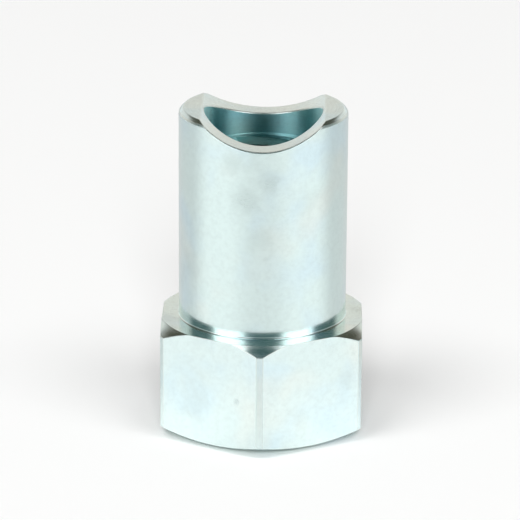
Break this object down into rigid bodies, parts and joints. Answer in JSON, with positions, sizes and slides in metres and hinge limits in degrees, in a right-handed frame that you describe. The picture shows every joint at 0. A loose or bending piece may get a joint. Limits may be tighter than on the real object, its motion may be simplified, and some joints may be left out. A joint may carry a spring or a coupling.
{
  "type": "saddle nut",
  "caption": "Hexagon adjusting nut with a plain round sleeve whose end is grooved to seat on a round cross pin, tapped right through.",
  "frame": {"origin": "centre of the hexagon's flat foot face, on the thread's axis", "axes": "+Z along the thread from the hexagon's foot to the saddle; the saddle's groove runs along Y; two corners of the hexagon lie on Y and two flats face along X"},
  "size_m": [0.014, 0.016, 0.023],
  "materials": {
    "zinc_plate": "bright blue-passivated zinc plate over turned and cold-drawn steel"
  },
  "bodies": {
    "root": {"saddle_nut": "zinc_plate"}
  },
  "joints": []
}
